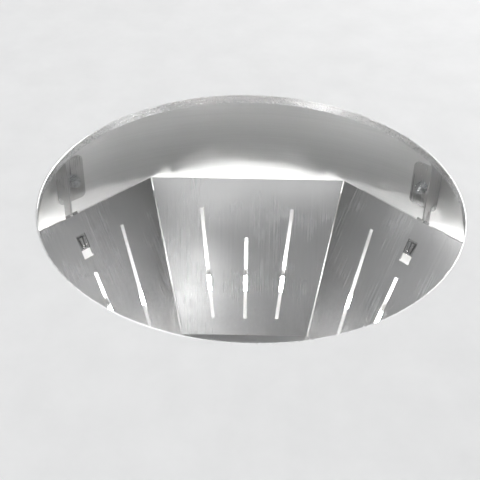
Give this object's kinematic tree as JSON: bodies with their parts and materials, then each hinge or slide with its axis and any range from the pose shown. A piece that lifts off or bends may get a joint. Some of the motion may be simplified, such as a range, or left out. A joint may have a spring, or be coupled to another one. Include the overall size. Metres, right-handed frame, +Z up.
{
  "type": "island range hood",
  "caption": "Ceiling-hung island range hood: white canopy with a round opening, slotted steel funnel, blower and telescopic chimney.",
  "frame": {"origin": "centre of the ceiling plate's four bolt holes, on its top face, where it meets the ceiling", "axes": "+Z up out of the hood into the ceiling, +X along the canopy's long side, -Y towards the side with the buttons"},
  "size_m": [1, 0.704, 1],
  "materials": {
    "white_coat": "satin white powder coat",
    "mineral_board": "matt white mineral coating",
    "bright_rim": "bright steel band",
    "brushed_sheet": "fine brushed stainless",
    "bent_sheet": "brushed stainless",
    "spring_wire": "drawn wire",
    "zinc_hardware": "zinc plated",
    "light_channel": "extruded, satin",
    "light_lens": "opal diffuser",
    "dark_plastic": "fine moulded texture",
    "galvanised_sheet": "galvanised",
    "wheel_plastic": "moulded",
    "motor_casting": "painted casting",
    "motor_windings": "enamelled copper and laminations",
    "ground_steel": "ground",
    "black_rubber": "matt",
    "circuit_board": "solder mask",
    "button_cap": "satin"
  },
  "bodies": {
    "hood": {"blower_housing": "galvanised_sheet", "bracket_nuts": "zinc_hardware", "bracket_studs": "zinc_hardware", "bracket_washers": "zinc_hardware", "cable_gland": "black_rubber", "cable_grommet": "black_rubber", "canopy_skirt": "white_coat", "canopy_top": "white_coat", "capacitor": "dark_plastic", "ceiling_plate": "galvanised_sheet", "control_board": "circuit_board", "control_fascia": "dark_plastic", "cross_bars": "galvanised_sheet", "damper_pin": "zinc_hardware", "fixed_panel_end_1": "brushed_sheet", "fixed_panel_end_2": "brushed_sheet", "fixed_panel_side_1": "brushed_sheet", "fixed_panel_side_2": "brushed_sheet", "hinge_rods": "zinc_hardware", "light_bars": "light_channel", "light_driver": "dark_plastic", "light_lenses": "light_lens", "liner_drum": "brushed_sheet", "motor_bracket": "galvanised_sheet", "motor_shell": "motor_casting", "motor_stator": "motor_windings", "outlet_collar": "galvanised_sheet", "pan_screws": "zinc_hardware", "plenum_cone": "brushed_sheet", "rail_bolts": "zinc_hardware", "rim_ring": "bright_rim", "shaft_bearings": "ground_steel", "support_rails": "galvanised_sheet", "terminal_box": "dark_plastic", "throat_frame": "brushed_sheet", "underside_panel": "mineral_board", "upper_cover": "white_coat", "wall_brackets": "bent_sheet"},
    "panel_a": {"hinged_panel_a": "brushed_sheet", "catch_spring_a": "spring_wire"},
    "catch_a": {"finger_catch_a": "bent_sheet"},
    "panel_b": {"hinged_panel_b": "brushed_sheet", "catch_spring_b": "spring_wire"},
    "catch_b": {"finger_catch_b": "bent_sheet"},
    "panel_c": {"hinged_panel_c": "brushed_sheet", "catch_spring_c": "spring_wire"},
    "catch_c": {"finger_catch_c": "bent_sheet"},
    "panel_d": {"hinged_panel_d": "brushed_sheet", "catch_spring_d": "spring_wire"},
    "catch_d": {"finger_catch_d": "bent_sheet"},
    "wheel": {"blower_wheel": "wheel_plastic", "motor_rotor": "ground_steel"},
    "flap_1": {"damper_flap_1": "galvanised_sheet"},
    "flap_2": {"damper_flap_2": "galvanised_sheet"},
    "lower_cover": {"lower_cover": "white_coat"},
    "fan_off_button": {"fan_off_button": "button_cap"},
    "fan_low_button": {"fan_low_button": "button_cap"},
    "fan_middle_button": {"fan_middle_button": "button_cap"},
    "fan_high_button": {"fan_high_button": "button_cap"},
    "light_button": {"light_button": "button_cap"}
  },
  "joints": [
    {"name": "panel_a_hinge", "type": "hinge", "parent": "hood", "child": "panel_a", "pos_m": [0.14955, 0.14955, -0.62786], "axis": [-0.7071, 0.7071, 0], "range_deg": [0, 45]},
    {"name": "catch_a_slide", "type": "slide", "parent": "panel_a", "child": "catch_a", "axis": [-0.3448, -0.3448, 0.873], "range_m": [0, 0.008], "stiffness_N_per_m": 400, "springref_m": -0.004, "deforming": ["catch_spring_a"]},
    {"name": "panel_b_hinge", "type": "hinge", "parent": "hood", "child": "panel_b", "pos_m": [-0.14955, 0.14955, -0.62786], "axis": [-0.7071, -0.7071, 0], "range_deg": [0, 45]},
    {"name": "catch_b_slide", "type": "slide", "parent": "panel_b", "child": "catch_b", "axis": [0.3448, -0.3448, 0.873], "range_m": [0, 0.008], "stiffness_N_per_m": 400, "springref_m": -0.004, "deforming": ["catch_spring_b"]},
    {"name": "panel_c_hinge", "type": "hinge", "parent": "hood", "child": "panel_c", "pos_m": [-0.14955, -0.14955, -0.62786], "axis": [0.7071, -0.7071, 0], "range_deg": [0, 45]},
    {"name": "catch_c_slide", "type": "slide", "parent": "panel_c", "child": "catch_c", "axis": [0.3448, 0.3448, 0.873], "range_m": [0, 0.008], "stiffness_N_per_m": 400, "springref_m": -0.004, "deforming": ["catch_spring_c"]},
    {"name": "panel_d_hinge", "type": "hinge", "parent": "hood", "child": "panel_d", "pos_m": [0.14955, -0.14955, -0.62786], "axis": [0.7071, 0.7071, 0], "range_deg": [0, 45]},
    {"name": "catch_d_slide", "type": "slide", "parent": "panel_d", "child": "catch_d", "axis": [-0.3448, 0.3448, 0.873], "range_m": [0, 0.008], "stiffness_N_per_m": 400, "springref_m": -0.004, "deforming": ["catch_spring_d"]},
    {"name": "wheel_spin", "type": "hinge", "parent": "hood", "child": "wheel", "pos_m": [0, 0, -0.44466], "axis": [1, 0, 0], "continuous": true},
    {"name": "flap_1_hinge", "type": "hinge", "parent": "hood", "child": "flap_1", "pos_m": [0, 0, -0.25466], "axis": [1, 0, 0], "range_deg": [0, 75]},
    {"name": "flap_2_hinge", "type": "hinge", "parent": "hood", "child": "flap_2", "pos_m": [0, 0, -0.25466], "axis": [-1, 0, 0], "range_deg": [0, 75]},
    {"name": "lower_cover_lift", "type": "slide", "parent": "hood", "child": "lower_cover", "axis": [0, 0, 1], "range_m": [0, 0.12]},
    {"name": "fan_off_button_press", "type": "slide", "parent": "hood", "child": "fan_off_button", "axis": [0, 1, 0], "range_m": [0, 0.0015], "stiffness_N_per_m": 600, "springref_m": -0.001},
    {"name": "fan_low_button_press", "type": "slide", "parent": "hood", "child": "fan_low_button", "axis": [0, 1, 0], "range_m": [0, 0.0015], "stiffness_N_per_m": 600, "springref_m": -0.001},
    {"name": "fan_middle_button_press", "type": "slide", "parent": "hood", "child": "fan_middle_button", "axis": [0, 1, 0], "range_m": [0, 0.0015], "stiffness_N_per_m": 600, "springref_m": -0.001},
    {"name": "fan_high_button_press", "type": "slide", "parent": "hood", "child": "fan_high_button", "axis": [0, 1, 0], "range_m": [0, 0.0015], "stiffness_N_per_m": 600, "springref_m": -0.001},
    {"name": "light_button_press", "type": "slide", "parent": "hood", "child": "light_button", "axis": [0, 1, 0], "range_m": [0, 0.0015], "stiffness_N_per_m": 600, "springref_m": -0.001}
  ]
}
